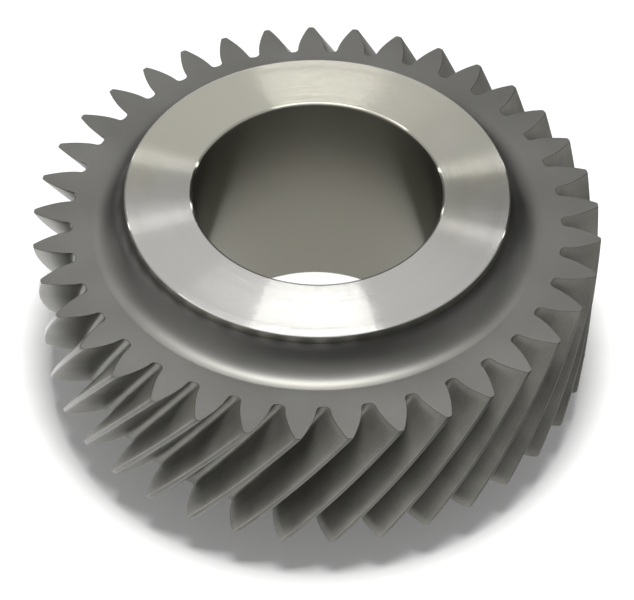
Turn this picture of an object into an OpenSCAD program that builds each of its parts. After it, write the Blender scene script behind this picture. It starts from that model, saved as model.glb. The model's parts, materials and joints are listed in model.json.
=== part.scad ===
// Helical transmission gear, one piece of steel, standing on the end of its longer hub.
// The bore's axis is Z, and the origin lies on it in the plane of the lower hub face.

/* [Teeth] */
// Number of teeth
teeth = 37; // [34:1:45]
// Module, measured square to the tooth
normal_module = 3.9; // [3.6:0.1:4.6]
// Right-hand angle between a tooth and the axis at the reference circle
helix_angle = 32.5; // [15:0.5:35]
// Pressure angle, measured square to the tooth
pressure_angle = 17.5; // [15:0.5:20]
// Profile shift in modules, which moves the tooth out and thickens it
profile_shift = 0.08; // [-0.1:0.01:0.2]
// Height of a tooth above the reference circle, in modules
addendum = 1.56; // [1:0.01:1.6]
// Depth of a gap below the reference circle, in modules
dedendum = 1.68; // [1.2:0.01:1.8]
// Radius that rounds both corners of a tooth tip
tip_round = 0.7; // [0.2:0.1:0.8]
// Radius between a flank and the floor of the gap
root_fillet = 1.5; // [0.8:0.1:1.6]
// Width of the toothed rim along the axis
face_width = 52.5; // [25:0.5:60]

/* [Hub] */
// Diameter of both hub faces
hub_d = 124; // [100:1:128]
// Height of the upper hub face above the rim
upper_hub_h = 12; // [8:0.5:30]
// Height of the rim above the lower hub face
lower_hub_h = 18.5; // [8:0.5:40]
// Height of the straight turned land below each hub face
hub_land = 3; // [1:0.5:4]
// Lean of the forged hub wall below the land, in degrees
hub_draft = 8; // [0:1:12]
// Radius that joins the forged wall to the rim face
hub_fillet = 10; // [2:0.5:10]
// Bevel on the outer edge of each hub face
hub_bevel = 0.5; // [0.2:0.1:1]

/* [Bore] */
// Diameter of the ground bore
bore_d = 80; // [40:1:90]
// Bevel on both ends of the bore
bore_bevel = 1; // [0.3:0.1:2]

/* [Hidden] */

steel = [0.45, 0.45, 0.43];
round_fn = 180;
tip_steps = 2;
flank_steps = 3;
root_steps = 2;
// Most degrees that one slice of the rim turns
slice_turn = 2.9;
// Most of the ring between hub and root circle that a hub fillet takes
fillet_share = 0.7;
// How far one solid runs into the next, or a cut past its surface
overlap = 1;

function deg(radians) = radians * 180 / PI;
function polar(r, a) = [r * cos(a), r * sin(a)];

// Circles and angles in the plane square to the axis
reference_r = teeth * normal_module / cos(helix_angle) / 2;
transverse_angle = atan(tan(pressure_angle) / cos(helix_angle));
base_r = reference_r * cos(transverse_angle);
tip_r = reference_r + (addendum + profile_shift) * normal_module;
root_r = reference_r - (dedendum - profile_shift) * normal_module;
tooth_thickness = PI * reference_r / teeth
    + 2 * profile_shift * normal_module * tan(transverse_angle);
twist = deg(face_width * tan(helix_angle) / reference_r);

bore_r = bore_d / 2;
hub_r = hub_d / 2;
rim_top = lower_hub_h + face_width;
height = rim_top + upper_hub_h;

// An involute flank: its pressure angle, and half the tooth's angle, at a radius
function pressure_at(r) = acos(min(1, base_r / r));
function involute(a) = deg(tan(a)) - a;
function half_tooth(r) = deg(tooth_thickness / reference_r / 2)
    + involute(transverse_angle) - involute(pressure_at(r));

// The tip's rounding is centred on the flank moved in by its radius,
// and the root fillet on the flank moved out into the gap
tip_centre_r = tip_r - tip_round;
tip_centre_a = half_tooth(tip_centre_r) - deg(tip_round / base_r);
tip_start = pressure_at(tip_centre_r);
root_centre_r = root_r + root_fillet;
root_centre_a = half_tooth(root_centre_r) + deg(root_fillet / base_r);
root_start = pressure_at(root_centre_r);

// Between them the flank is stepped by the line that unrolls from the base circle
root_roll = base_r * tan(root_start) - root_fillet;
tip_roll = base_r * tan(tip_start) + tip_round;
function flank_r(i) = norm([base_r, root_roll + (tip_roll - root_roll) * i / flank_steps]);

// One side of a tooth, from the top of its tip to the floor of the gap
tip_arc = [for (i = [0:tip_steps])
    let (turn = (90 - tip_start) * i / tip_steps)
    polar(tip_centre_r, tip_centre_a) + polar(tip_round, tip_centre_a + turn)];
flank = [for (i = [flank_steps - 1:-1:1])
    polar(flank_r(i), half_tooth(flank_r(i)))];
root_arc = [for (i = [root_steps:-1:0])
    let (turn = (90 - root_start) * i / root_steps)
    polar(root_centre_r, root_centre_a) - polar(root_fillet, root_centre_a + turn)];
tooth_side = concat(tip_arc, flank, root_arc);

function mirrored(points) = [for (i = [len(points) - 1:-1:0]) [points[i].x, -points[i].y]];
function turned(points, a) = [for (p = points)
    [p.x * cos(a) - p.y * sin(a), p.x * sin(a) + p.y * cos(a)]];
tooth = concat(mirrored(tooth_side), tooth_side);
gear_outline = [for (i = [0:teeth - 1]) each turned(tooth, 360 / teeth * i)];

module toothed_rim() {
    linear_extrude(height = face_width, twist = -twist, slices = ceil(twist / slice_turn))
        polygon(gear_outline);
}

// One hub end, revolved from its section: bevel, turned land, leaning wall, and the
// fillet that runs out on the rim face at z = 0
module hub_end(rise) {
    land = min(hub_land, rise / 3);
    fillet = min(hub_fillet, rise - land, fillet_share * (root_r - hub_r));
    lean = (rise - land - fillet) * tan(hub_draft);
    centre_r = hub_r + lean + fillet / cos(hub_draft);
    rotate_extrude($fn = round_fn)
        difference() {
            polygon([
                [0, -overlap], [centre_r, -overlap], [centre_r, 0],
                [centre_r, fillet] - polar(fillet, hub_draft),
                [hub_r, rise - land], [hub_r, rise - hub_bevel],
                [hub_r - hub_bevel, rise], [0, rise]
            ]);
            translate([centre_r, fillet])
                circle(fillet, $fn = round_fn);
        }
}

// The bevelled mouth of the bore, cut down from z = 0
module bore_mouth() {
    translate([0, 0, -bore_bevel])
        cylinder(h = bore_bevel + overlap, r1 = bore_r, r2 = bore_r + bore_bevel + overlap,
            $fn = round_fn);
}

module bore() {
    translate([0, 0, -overlap])
        cylinder(h = height + 2 * overlap, r = bore_r, $fn = round_fn);
    translate([0, 0, height])
        bore_mouth();
    mirror([0, 0, 1])
        bore_mouth();
}

module helical_gear() {
    color(steel)
        difference() {
            union() {
                translate([0, 0, lower_hub_h])
                    toothed_rim();
                translate([0, 0, rim_top])
                    hub_end(upper_hub_h);
                translate([0, 0, lower_hub_h])
                    mirror([0, 0, 1])
                        hub_end(lower_hub_h);
            }
            bore();
        }
}

helical_gear();
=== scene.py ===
import json
from math import acos, atan, atan2, cos, pi, radians, sin, tan
import bmesh
import bpy
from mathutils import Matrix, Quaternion, Vector


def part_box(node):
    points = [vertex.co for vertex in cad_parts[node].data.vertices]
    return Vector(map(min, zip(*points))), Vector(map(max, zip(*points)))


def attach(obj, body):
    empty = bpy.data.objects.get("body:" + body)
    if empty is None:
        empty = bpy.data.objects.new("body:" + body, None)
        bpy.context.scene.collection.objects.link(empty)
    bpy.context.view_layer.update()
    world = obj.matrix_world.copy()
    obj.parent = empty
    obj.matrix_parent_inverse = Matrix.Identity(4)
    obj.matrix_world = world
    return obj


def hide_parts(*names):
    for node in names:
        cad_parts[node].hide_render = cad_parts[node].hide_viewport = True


# Lengths are in metres, in the frame's own place and direction
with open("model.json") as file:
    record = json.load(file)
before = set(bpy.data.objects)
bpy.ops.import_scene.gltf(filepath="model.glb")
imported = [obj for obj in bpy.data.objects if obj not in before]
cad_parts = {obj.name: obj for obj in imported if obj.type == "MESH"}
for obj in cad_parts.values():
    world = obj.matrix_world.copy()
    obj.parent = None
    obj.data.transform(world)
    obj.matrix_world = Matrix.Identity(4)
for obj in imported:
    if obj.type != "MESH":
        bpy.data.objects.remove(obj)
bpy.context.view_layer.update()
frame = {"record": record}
scene = bpy.context.scene
scene.view_settings.view_transform = "Standard"
zAxis = Vector((0, 0, 1))
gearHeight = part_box("helical_gear")[1].z
mountsByName = {mount["name"]: mount for mount in frame["record"]["mounts"]}
boreRadius = mountsByName["bore"]["dims"]["r_mm"] / 1000
print("frame loaded")


class Wire:
    # wraps a node's output, so that sums on it add the shader's Math nodes
    def __init__(self, tree, socket=None):
        self.tree = tree
        self.socket = socket

    def add(self, kind, settings=None, sockets=None, output=0):
        node = self.tree.nodes.new(kind)
        for name, value in (settings or {}).items():
            if name == "stops":
                for element, (place, shade) in zip(node.color_ramp.elements, value):
                    element.position = place
                    element.color = shade
            else:
                setattr(node, name, value)
        for name, value in (sockets or {}).items():
            if isinstance(value, Wire):
                self.tree.links.new(value.socket, node.inputs[name])
            else:
                node.inputs[name].default_value = value
        return Wire(self.tree, node.outputs[output] if node.outputs else None)

    def other(self, output):
        return Wire(self.tree, self.socket.node.outputs[output])

    def math(self, operation, first, second=0.0):
        return self.add("ShaderNodeMath", {"operation": operation}, {0: first, 1: second})

    def blend(self, first, second):
        # colour from first to second as this goes from 0 to 1
        return self.add("ShaderNodeMix", {"data_type": "RGBA"}, {0: self, 6: first, 7: second}, output=2)

    def vector(self, operation, first, second=(0, 0, 0), output=0):
        return self.add("ShaderNodeVectorMath", {"operation": operation}, {0: first, 1: second}, output)

    def step(self, low, high):
        # 0 at low, 1 at high, smooth between
        return self.add("ShaderNodeMapRange", {"interpolation_type": "SMOOTHSTEP"}, {
            "Value": self, "From Min": low, "From Max": high})

    def ramp(self, first, last):
        # between two stops, each a place and its colour
        return self.add("ShaderNodeValToRGB", {"stops": (first, last)}, {"Fac": self})

    def __add__(self, other):
        return self.math("ADD", self, other)

    def __sub__(self, other):
        return self.math("SUBTRACT", self, other)

    def __mul__(self, other):
        return self.math("MULTIPLY", self, other)

    def __rsub__(self, other):
        return self.math("SUBTRACT", other, self)

    __radd__ = __add__
    __rmul__ = __mul__


def newMaterial(name):
    material = bpy.data.materials.new(name)
    material.use_nodes = True
    material.node_tree.nodes.clear()
    return material, Wire(material.node_tree)


def grey(level):
    return (level, level, level, 1)


def addObject(bm, name, materials):
    mesh = bpy.data.meshes.new(name)
    bm.to_mesh(mesh)
    bm.free()
    for material in materials:
        mesh.materials.append(material)
    made = bpy.data.objects.new(name, mesh)
    scene.collection.objects.link(made)
    return made


# The camera stands where the photograph was taken; only its lens is in millimetres
cameraPlan = {
    "lens": 129.6, "distance": 0.7323, "elevation": radians(45.66), "turn": radians(-1.36),
    "roll": radians(0.73), "aim": (0.0003, 0, 0.0302),
}


def makeCamera(plan):
    camera = bpy.data.objects.new("camera", bpy.data.cameras.new("camera"))
    scene.collection.objects.link(camera)
    camera.data.lens = plan["lens"]
    reach = plan["distance"] * cos(plan["elevation"])
    camera.location = (reach * sin(plan["turn"]), -reach * cos(plan["turn"]),
                       gearHeight + plan["distance"] * sin(plan["elevation"]))
    look = (Vector(plan["aim"]) - camera.location).to_track_quat("-Z", "Y")
    camera.rotation_euler = (look @ Quaternion(zAxis, plan["roll"])).to_euler()
    scene.camera = camera


makeCamera(cameraPlan)
print("camera placed")

# The gear, to the sizes of the solid but for a softer wall and fillet below its upper hub face
# and bevels on the ends of its teeth. A flank starts flankFoot root fillets above the root
# circle, a hub fillet takes wallShare of its wall at most, and a face whose normal's z is past
# level is shaded flat.
gearPlan = {
    "teeth": 37, "module": 0.0039, "helix": radians(32.5), "pressure": radians(17.5), "shift": 0.08,
    "addendum": 1.56, "dedendum": 1.68, "tipRound": 0.0007, "rootFillet": 0.0015, "flankFoot": 1.15,
    "faceWidth": 0.0525, "lowerHub": 0.0185, "hubRadius": 0.062, "land": 0.003,
    "upperDraft": radians(10.5), "upperFillet": 0.011, "lowerDraft": radians(8), "lowerFillet": 0.010,
    "wallShare": 0.999, "hubBevel": 0.0005, "boreBevel": 0.001, "toothEdge": 0.00016,
    "crestBand": 0.00008, "level": 0.9999,
    "flankSteps": 8, "roundSteps": 4, "filletSteps": 10, "faceSteps": 18, "bevelSteps": 2,
}
faceSlots = {"rim": 0, "flank": 1, "hubFace": 2, "bore": 3, "edge": 4, "crest": 5}
# Points this close are one point, and radii this close are the same radius
samePlace = 1e-6
sameRadius = 1e-7
# The bevel profile that makes an arc
roundProfile = 0.5


def involute(angle):
    return tan(angle) - angle


class ToothForm:
    # the involute of the plan's teeth, in the plane square to the axis
    def __init__(self, plan):
        self.reference = plan["teeth"] * plan["module"] / cos(plan["helix"]) / 2
        self.angle = atan(tan(plan["pressure"]) / cos(plan["helix"]))
        self.base = self.reference * cos(self.angle)
        self.tip = self.reference + (plan["addendum"] + plan["shift"]) * plan["module"]
        self.root = self.reference - (plan["dedendum"] - plan["shift"]) * plan["module"]
        self.thickness = (pi * self.reference / plan["teeth"]
                          + 2 * plan["shift"] * plan["module"] * tan(self.angle))
        self.twist = plan["faceWidth"] * tan(plan["helix"]) / self.reference
        self.lead = self.twist / plan["faceWidth"]

    def halfTooth(self, radius):
        return (self.thickness / self.reference / 2 + involute(self.angle)
                - involute(acos(min(1, self.base / radius))))


toothForm = ToothForm(gearPlan)

# The steels: the stretch of a noise that runs from dark to light, its middle,
# and how much red they have for each part of green
noiseRange = (0.3, 0.7)
noiseMiddle = 0.5
redShare = 1.015


def steelShade(level, olive):
    # a linear grey, a touch of red put in and a little of its blue taken out
    return (level * redShare, level, level * (1 - olive), 1)


def steelRamp(mix, plan):
    low, high = noiseRange
    return mix.ramp((low, steelShade(plan["dark"], plan["olive"])),
                    (high, steelShade(plan["light"], plan["olive"])))


# Steel as it was blasted after hardening, dull and fine-grained. Its streaks turn by lead
# radians for each metre of height.
blasted = {
    "cloudShare": 0.7, "cloudDetail": 4.0, "cloudRoughness": 0.55, "grainDetail": 2.0,
    "grainRoughness": 0.6, "streak": 1400.0, "streakDetail": 3.0, "streakPull": 0.03, "bump": 0.6,
}
rimSteel = {
    **blasted, "dark": 0.115, "light": 0.150, "olive": 0.06, "roughness": 0.33, "roughnessSpread": 0.08,
    "grain": 2600, "cloud": 28, "streaks": 0.0, "grainHeight": 0.00001, "lead": 0.0, "metal": 1.0,
}
flankSteel = {
    **blasted, "dark": 0.125, "light": 0.26, "olive": 0.10, "roughness": 0.42, "roughnessSpread": 0.12,
    "grain": 1800, "cloud": 60, "streaks": 0.45, "grainHeight": 0.00004, "lead": toothForm.lead,
    "metal": 0.65,
}
# Steel darker than the flanks for the bevels on the ends of the teeth: painted shade, dark lines drawn
# along the teeth's outlines
edgeSteelPaintedShade = {
    **blasted, "dark": 0.05, "light": 0.11, "olive": 0.08, "roughness": 0.5, "roughnessSpread": 0.10,
    "grain": 2200, "cloud": 90, "streaks": 0.3, "grainHeight": 0.00001, "lead": toothForm.lead,
    "metal": 0.8,
}
crestSteel = {
    **blasted, "dark": 0.075, "light": 0.12, "olive": 0.07, "roughness": 0.20, "roughnessSpread": 0.08,
    "grain": 2200, "cloud": 90, "streaks": 0.3, "grainHeight": 0.00001, "lead": toothForm.lead,
    "metal": 1.0,
}


def blastedSteel(plan, name):
    material, start = newMaterial(name)
    place = start.add("ShaderNodeTexCoord", output="Object")
    # turned back by its height, a streak along Z follows the helix
    height = start.add("ShaderNodeSeparateXYZ", sockets={0: place}, output="Z")
    unwound = start.add("ShaderNodeVectorRotate", {"rotation_type": "Z_AXIS"}, {
        "Vector": place, "Angle": height * -plan["lead"]})
    along = start.vector("MULTIPLY", unwound, (1, 1, plan["streakPull"]))
    grain = start.add("ShaderNodeTexNoise", sockets={
        "Vector": place, "Scale": plan["grain"], "Detail": plan["grainDetail"],
        "Roughness": plan["grainRoughness"]})
    cloud = start.add("ShaderNodeTexNoise", sockets={
        "Vector": place, "Scale": plan["cloud"], "Detail": plan["cloudDetail"],
        "Roughness": plan["cloudRoughness"]})
    streak = start.add("ShaderNodeTexNoise", sockets={
        "Vector": along, "Scale": plan["streak"], "Detail": plan["streakDetail"]})
    fine = grain * (1 - plan["streaks"]) + streak * plan["streaks"]
    shade = steelRamp(cloud * plan["cloudShare"] + fine * (1 - plan["cloudShare"]), plan)
    bump = start.add("ShaderNodeBump", sockets={
        "Strength": plan["bump"], "Distance": plan["grainHeight"], "Height": fine})
    surface = start.add("ShaderNodeBsdfPrincipled", sockets={
        "Base Color": shade, "Metallic": plan["metal"], "Normal": bump,
        "Roughness": plan["roughness"] + (cloud - noiseMiddle) * plan["roughnessSpread"]})
    start.add("ShaderNodeOutputMaterial", sockets={"Surface": surface})
    return material


# Turned and ground faces, whose fine rings stretch each highlight along the radius.
# A tan cast lies over them in clouds, most of it on the half behind the axis.
ringed = {
    "ringShare": 0.5, "ringDetail": 2.0, "bands": 160, "bandDetail": 3.0, "quarterTurn": 0.25,
    "cast": 34.0, "castDetail": 2.0, "castPull": 0.12, "castShare": 0.6, "castRange": (0.4, 0.75),
    "halfShare": 0.5, "halfRange": (-0.05, 0.05),
}
turned = {
    **ringed, "light": 0.48, "dark": 0.45, "olive": 0.035, "tint": (0.42, 0.41, 0.345, 1),
    "tintShare": 0.85, "roughness": 0.13, "spread": 0.06, "stretch": 1.0, "rings": 130000, "groove": 0.95,
}
ground = {
    **ringed, "light": 0.208, "dark": 0.198, "olive": 0.14, "tint": (0.165, 0.16, 0.132, 1),
    "tintShare": 0.8, "roughness": 0.28, "spread": 0.02, "stretch": 0.95, "rings": 2200, "groove": 0.0,
}


def turnedSteel(plan, name):
    material, start = newMaterial(name)
    place = start.add("ShaderNodeTexCoord", output="Object")
    outward = start.vector("MULTIPLY", place, (1, 1, 0))
    radius = start.vector("LENGTH", outward, output="Value")
    height = start.add("ShaderNodeSeparateXYZ", sockets={0: place}, output="Z")
    # across the rings on a flat face, and along the axis in the bore
    across = radius + height
    rings = start.add("ShaderNodeTexNoise", {"noise_dimensions": "1D"}, {
        "W": across, "Scale": plan["rings"], "Detail": plan["ringDetail"]})
    bands = start.add("ShaderNodeTexNoise", {"noise_dimensions": "1D"}, {
        "W": across, "Scale": plan["bands"], "Detail": plan["bandDetail"]})
    clean = steelRamp(rings * plan["ringShare"] + bands * (1 - plan["ringShare"]), plan)
    # the cast's clouds are drawn out along the axis
    drawn = start.vector("MULTIPLY", place, (1, 1, plan["castPull"]))
    cloud = start.add("ShaderNodeTexNoise", sockets={
        "Vector": drawn, "Scale": plan["cast"], "Detail": plan["castDetail"]})
    half = height.other("Y").step(*plan["halfRange"])
    cast = (cloud * plan["castShare"] + half * plan["halfShare"]).step(*plan["castRange"])
    shade = (cast * plan["tintShare"]).blend(clean, plan["tint"])
    # the tool's grooves tilt a flat face towards and away from the bore
    flat = start.add("ShaderNodeNewGeometry", output="Normal")
    tilt = start.vector("MULTIPLY", start.vector("NORMALIZE", outward),
                        (rings - noiseMiddle) * plan["groove"])
    grooved = start.vector("NORMALIZE", start.vector("ADD", flat, tilt))
    surface = start.add("ShaderNodeBsdfPrincipled", sockets={
        "Base Color": shade, "Metallic": 1.0, "Normal": grooved,
        "Roughness": plan["roughness"] + (bands - noiseMiddle) * plan["spread"],
        "Anisotropic": plan["stretch"], "Anisotropic Rotation": plan["quarterTurn"]})
    start.add("ShaderNodeOutputMaterial", sockets={"Surface": surface})
    return material


def polar(radius, angle):
    return Vector((radius * cos(angle), radius * sin(angle), 0))


def cutFor(radius, lean):
    # how far from its corner an arc starts, where the sides lie a right angle and the lean apart
    return radius / tan((pi / 2 + lean) / 2)


def roundOff(bm, geometry, cut, segments, material=-1, affect="EDGES"):
    bmesh.ops.bevel(bm, geom=geometry, offset=cut, offset_type="OFFSET", affect=affect,
                    segments=segments, profile=roundProfile, material=material, clamp_overlap=False)


def toothOutline(bm, plan, form):
    # half a tooth as a chain, mirrored, filled, rounded at its corners and copied round
    halfPitch = pi / plan["teeth"]
    flankFoot = form.root + plan["flankFoot"] * plan["rootFillet"]
    chain = [polar(form.root, halfPitch), polar(form.root, form.halfTooth(form.base))]
    for i in range(plan["flankSteps"] + 1):
        radius = flankFoot + (form.tip - flankFoot) * i / plan["flankSteps"]
        chain.append(polar(radius, form.halfTooth(radius)))
    chain.append(polar(form.tip, 0))
    verts = [bm.verts.new(place) for place in chain]
    for first, second in zip(verts, verts[1:]):
        bm.edges.new((first, second))
    bmesh.ops.mirror(bm, geom=bm.verts[:] + bm.edges[:], axis="Y", merge_dist=samePlace)
    ends = [vert for vert in bm.verts if len(vert.link_edges) == 1]
    closing = bm.edges.new(ends)
    bmesh.ops.contextual_create(bm, geom=bm.edges[:])
    tips = [vert for vert in bm.verts
            if abs(vert.co.xy.length - form.tip) < sameRadius and abs(vert.co.y) > samePlace]
    roots = [vert for vert in bm.verts
             if abs(vert.co.xy.length - form.root) < sameRadius and vert not in ends]
    tipCut = cutFor(plan["tipRound"], acos(form.base / form.tip))
    roundOff(bm, tips, tipCut, plan["roundSteps"], affect="VERTICES")
    roundOff(bm, roots, plan["rootFillet"], plan["roundSteps"], affect="VERTICES")
    bmesh.ops.delete(bm, geom=bm.faces[:], context="FACES_ONLY")
    bmesh.ops.delete(bm, geom=[closing], context="EDGES")
    steps = plan["teeth"] - 1
    bmesh.ops.spin(bm, geom=bm.verts[:] + bm.edges[:], cent=(0, 0, 0), axis=zAxis, steps=steps,
                   angle=2 * halfPitch * steps, use_duplicate=True)
    bmesh.ops.remove_doubles(bm, verts=bm.verts[:], dist=samePlace)


def ring(bm, edges, radius, height, slot, even=False):
    # extrudes a closed line of edges to a circle; even spaces its points out alike
    made = bmesh.ops.extrude_edge_only(bm, edges=edges)["geom"]
    verts = [item for item in made if isinstance(item, bmesh.types.BMVert)]
    angles = {vert: atan2(vert.co.y, vert.co.x) for vert in verts}
    verts.sort(key=angles.get)
    for i, vert in enumerate(verts):
        angle = angles[verts[0]] + 2 * pi * i / len(verts) if even else angles[vert]
        vert.co = polar(radius, angle) + zAxis * height
    for item in made:
        if isinstance(item, bmesh.types.BMFace):
            item.material_index = faceSlots[slot]
    return [item for item in made if isinstance(item, bmesh.types.BMEdge) and len(item.link_faces) == 1]


def hubEnd(bm, plan, outline, rim, up, face, draft, fillet):
    # from the rim face over the hub's wall, land and face to the mouth of the bore; the land
    # has the bore's ground finish
    wall = (face - rim) * up - plan["land"]
    foot = ring(bm, outline, plan["hubRadius"] + wall * tan(draft), rim, "rim", even=True)
    shoulder = ring(bm, foot, plan["hubRadius"], rim + up * wall, "rim")
    rimEdge = ring(bm, shoulder, plan["hubRadius"], face, "bore")
    mouth = ring(bm, rimEdge, boreRadius, face, "hubFace")
    for edge in shoulder:
        edge.smooth = False
    filletCut = min(cutFor(fillet, draft), plan["wallShare"] * wall / cos(draft))
    return {"foot": foot, "filletCut": filletCut, "rimEdge": rimEdge, "mouth": mouth}


def makeGear(plan, form):
    bm = bmesh.new()
    toothOutline(bm, plan, form)
    bmesh.ops.translate(bm, verts=bm.verts[:], vec=zAxis * plan["lowerHub"])
    lowOutline = bm.edges[:]
    made = bmesh.ops.spin(bm, geom=lowOutline, cent=(0, 0, 0), axis=zAxis, angle=form.twist,
                          dvec=zAxis * plan["faceWidth"] / plan["faceSteps"], steps=plan["faceSteps"])
    highOutline = [item for item in made["geom_last"] if isinstance(item, bmesh.types.BMEdge)]
    for face in bm.faces:
        lowest = min(vert.co.xy.length for vert in face.verts)
        face.material_index = faceSlots["crest" if lowest > form.tip - plan["crestBand"] else "flank"]
    upper = hubEnd(bm, plan, highOutline, plan["lowerHub"] + plan["faceWidth"], 1, gearHeight,
                   plan["upperDraft"], plan["upperFillet"])
    lower = hubEnd(bm, plan, lowOutline, plan["lowerHub"], -1, 0.0,
                   plan["lowerDraft"], plan["lowerFillet"])
    for face in bmesh.ops.bridge_loops(bm, edges=upper["mouth"] + lower["mouth"])["faces"]:
        face.material_index = faceSlots["bore"]
    bmesh.ops.recalc_face_normals(bm, faces=bm.faces[:])
    for end in (upper, lower):
        roundOff(bm, end["foot"], end["filletCut"], plan["filletSteps"])
        roundOff(bm, end["rimEdge"], plan["hubBevel"], plan["bevelSteps"])
        roundOff(bm, end["mouth"], plan["boreBevel"], plan["bevelSteps"])
    # the bevels on the teeth's ends take the darker edge steel, painted shade along their outlines
    for outline in (highOutline, lowOutline):
        roundOff(bm, outline, plan["toothEdge"], plan["bevelSteps"], faceSlots["edge"])
    for face in bm.faces:
        face.smooth = abs(face.normal.z) < plan["level"]
    bmesh.ops.remove_doubles(bm, verts=bm.verts[:], dist=samePlace)
    bmesh.ops.recalc_face_normals(bm, faces=bm.faces[:])
    # in the order of faceSlots
    gear = addObject(bm, "gear", [
        blastedSteel(rimSteel, "blastedRim"), blastedSteel(flankSteel, "toothFlank"),
        turnedSteel(turned, "turnedFace"), turnedSteel(ground, "groundBore"),
        blastedSteel(edgeSteelPaintedShade, "toothEdge"), blastedSteel(crestSteel, "toothCrest")])
    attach(gear, "root")
    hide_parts("helical_gear")
    print("gear made:", len(gear.data.polygons), "faces")


makeGear(gearPlan, toothForm)

# The sky is plain white to the camera, and the metal mirrors one with lights and dark parts.
# That one is laid out by the x, y and z of a direction, with z up and y away from the camera.
# A pair is the stretch over which something comes on or fades.
white = grey(1)
skyPlan = {
    "fill": 0.29, "high": 0.70, "halves": (-0.1, 0.1), "horizon": (0.1, 0.2),
    "light": {
        "glow": 15.5, "slope": 0.37, "edge": (-0.012, 0.012), "near": (0.26, 0.36), "far": (0.47, 0.68),
        "skirt": 0.085, "skirtFar": (0.68, 1.15), "leftGlow": 4.4, "leftSlope": 1.0,
        "leftStart": (0.0, -0.01), "color": (1, 1, 0.975, 1),
    },
    "band": {
        "left": 0.13, "right": 0.68, "leftSlope": 0.25, "rightSlope": 0.24, "rightShift": 0.08,
        "edge": (-0.01, 0.01), "lineGlow": 3.2, "lineEdge": (0.01, 0.025), "lineStart": (0.15, 0.3),
    },
    "dusk": {
        "near": 0.66, "nearTurn": 0.3, "nearRange": (0.2, 0.95), "lowRange": (0.45, 0.95),
        "outShare": 0.5, "outRange": (0.35, 0.75), "left": 0.20, "right": 0.32, "sideRange": (0.06, 0.5),
        "beyond": 0.6, "beyondLow": (0.3, 0.75), "beyondRange": (0.0, 0.5),
    },
}


def raysSeen(start):
    # 1 for rays from the camera, and 1 for rays from metal or glass
    camera = start.add("ShaderNodeLightPath", output="Is Camera Ray")
    mirror = camera.other("Is Glossy Ray") + camera.other("Is Transmission Ray")
    return camera, start.math("MINIMUM", mirror, 1.0)


class SkyPlace:
    # a direction in the sky; ahead is how far it lies on the camera's side of a point high
    # behind the gear
    def __init__(self, start, plan):
        direction = start.add("ShaderNodeTexCoord", output="Generated")
        self.x = start.add("ShaderNodeSeparateXYZ", sockets={0: direction}, output="X")
        self.y = self.x.other("Y")
        self.z = self.x.other("Z")
        self.side = start.math("ABSOLUTE", self.x)
        self.onRight = self.x.step(*plan["halves"])
        self.ahead = plan["high"] - self.y
        self.above = self.z.step(*plan["horizon"])


def lightWedge(sky, plan):
    # spreads from that point, wider and weaker on the left; it fades before it is overhead,
    # all but a faint skirt that reaches on towards the camera
    middle = 1 - (sky.side - sky.ahead * plan["slope"]).step(*plan["edge"])
    left = ((1 - (0 - sky.x - sky.ahead * plan["leftSlope"]).step(*plan["edge"]))
            * sky.x.step(*plan["leftStart"]))
    fall = 1 - sky.ahead.step(*plan["far"])
    skirt = 1 - sky.ahead.step(*plan["skirtFar"])
    over = sky.ahead.step(*plan["near"]) * (fall * (1 - plan["skirt"]) + skirt * plan["skirt"])
    lit = over * (middle * (plan["glow"] - plan["leftGlow"]) + left * plan["leftGlow"]
                  + middle * (1 - left) * plan["leftGlow"])
    return lit, middle * over


def darkBand(start, sky, plan):
    # runs left and right from that point, darker on the right, between thin lights
    dark = plan["left"] + (plan["right"] - plan["left"]) * sky.onRight
    slope = plan["leftSlope"] + (plan["rightSlope"] - plan["leftSlope"]) * sky.onRight
    off = (start.math("ABSOLUTE", sky.ahead - sky.side * sky.onRight * plan["rightShift"])
           - sky.side * slope)
    band = 1 - off.step(*plan["edge"])
    line = (1 - start.math("ABSOLUTE", off).step(*plan["lineEdge"])) * sky.side.step(*plan["lineStart"])
    return sky.above * band * dark, line * plan["lineGlow"]


def dusk(sky, plan):
    # how light it is: darker low on the camera's side, and to both sides, most of all low
    # down beyond the gear
    low = (1 - sky.z.step(*plan["lowRange"])) * (1 - sky.side.step(*plan["outRange"]) * plan["outShare"])
    near = (sky.x * plan["nearTurn"] - sky.y).step(*plan["nearRange"])
    beyond = (1 - sky.z.step(*plan["beyondLow"])) * sky.y.step(*plan["beyondRange"])
    flanking = plan["left"] + (plan["right"] - plan["left"]) * sky.onRight + beyond * plan["beyond"]
    return (1 - near * low * plan["near"]) * (1 - sky.side.step(*plan["sideRange"]) * flanking)


def mirrorSky(start, plan):
    sky = SkyPlace(start, plan)
    lit, tinted = lightWedge(sky, plan["light"])
    dark, line = darkBand(start, sky, plan["band"])
    strength = dusk(sky, plan["dusk"]) * (1 - dark) + sky.above * (lit + line)
    return strength, (tinted * sky.above).blend(white, plan["light"]["color"])


def makeSky(plan):
    world = bpy.data.worlds.new("studio")
    world.use_nodes = True
    world.node_tree.nodes.clear()
    world.cycles.sampling_method = "NONE"
    start = Wire(world.node_tree)
    camera, mirror = raysSeen(start)
    seen, color = mirrorSky(start, plan)
    sky = start.add("ShaderNodeBackground", sockets={
        "Color": mirror.blend(white, color),
        "Strength": plan["fill"] * (1 - camera - mirror) + camera + mirror * seen})
    start.add("ShaderNodeOutputWorld", sockets={"Surface": sky})
    scene.world = world


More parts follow.
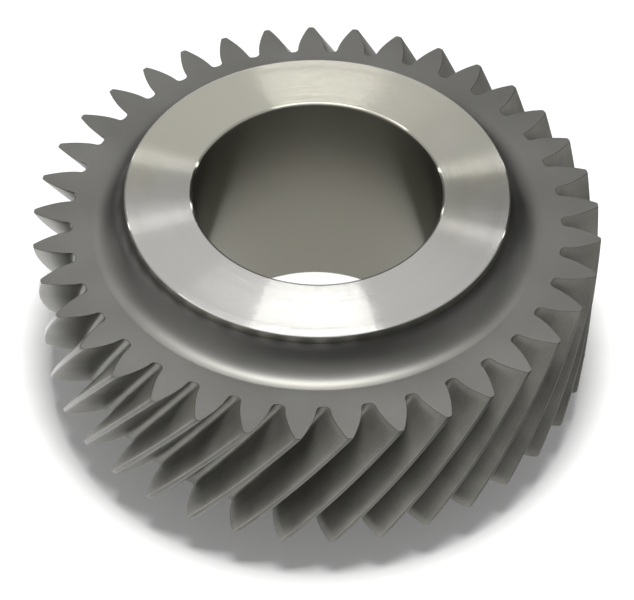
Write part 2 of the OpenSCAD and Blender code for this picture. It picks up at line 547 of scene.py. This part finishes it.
# The floor is white to the camera, and darker as the metal mirrors it to the right and in front
floorPlan = {
    "size": 3.0, "squares": 2, "white": 0.9, "glow": 0.1, "fade": (0.2, 0.9), "mirrorGlow": 0.38,
    "dimWhite": 0.03, "rightDim": 0.75, "rightReach": (0.0, 0.12), "frontDim": 0.45,
    "frontReach": (0.2, 0.36),
}


def makeFloor(plan):
    material, start = newMaterial("floorWhite")
    material.cycles.emission_sampling = "NONE"
    camera, mirror = raysSeen(start)
    # far from the gear it fades into the white behind it
    place = start.add("ShaderNodeTexCoord", output="Object")
    fade = start.vector("LENGTH", place, output="Value").step(*plan["fade"])
    across = start.add("ShaderNodeSeparateXYZ", sockets={0: place}, output="X")
    dim = start.math("MAXIMUM", across.step(*plan["rightReach"]) * plan["rightDim"],
                     (0 - across.other("Y")).step(*plan["frontReach"]) * plan["frontDim"])
    paint = start.add("ShaderNodeBsdfDiffuse", sockets={"Color": grey(plan["white"])})
    shade = start.add("ShaderNodeBsdfDiffuse", sockets={"Color": grey(plan["dimWhite"])})
    seen = start.add("ShaderNodeMixShader", sockets={0: mirror * dim, 1: paint, 2: shade})
    glow = start.add("ShaderNodeEmission", sockets={
        "Strength": camera * (plan["glow"] + fade) + mirror * plan["mirrorGlow"] * (1 - dim)})
    both = start.add("ShaderNodeAddShader", sockets={0: seen, 1: glow})
    start.add("ShaderNodeOutputMaterial", sockets={"Surface": both})
    bm = bmesh.new()
    bmesh.ops.create_grid(bm, x_segments=plan["squares"], y_segments=plan["squares"],
                          size=plan["size"] / 2)
    floor = addObject(bm, "floor", [material])


# A lamp overhead, which neither the camera nor the metal sees
lampPlan = {
    "place": (0, -0.11, 0.95), "aim": (0, 0, 0.08), "size": 0.24, "watts": 9.5, "color": (1, 0.998, 0.99),
}


def makeLamp(plan):
    light = bpy.data.lights.new("overhead", "AREA")
    light.size = plan["size"]
    light.color = plan["color"]
    light.energy = plan["watts"]
    lamp = bpy.data.objects.new("overhead", light)
    lamp.location = plan["place"]
    toLamp = Vector(plan["place"]) - Vector(plan["aim"])
    lamp.rotation_euler = toLamp.to_track_quat("Z", "Y").to_euler()
    lamp.visible_camera = False
    lamp.visible_glossy = False
    scene.collection.objects.link(lamp)


makeSky(skyPlan)
makeFloor(floorPlan)
makeLamp(lampPlan)
print("studio made")
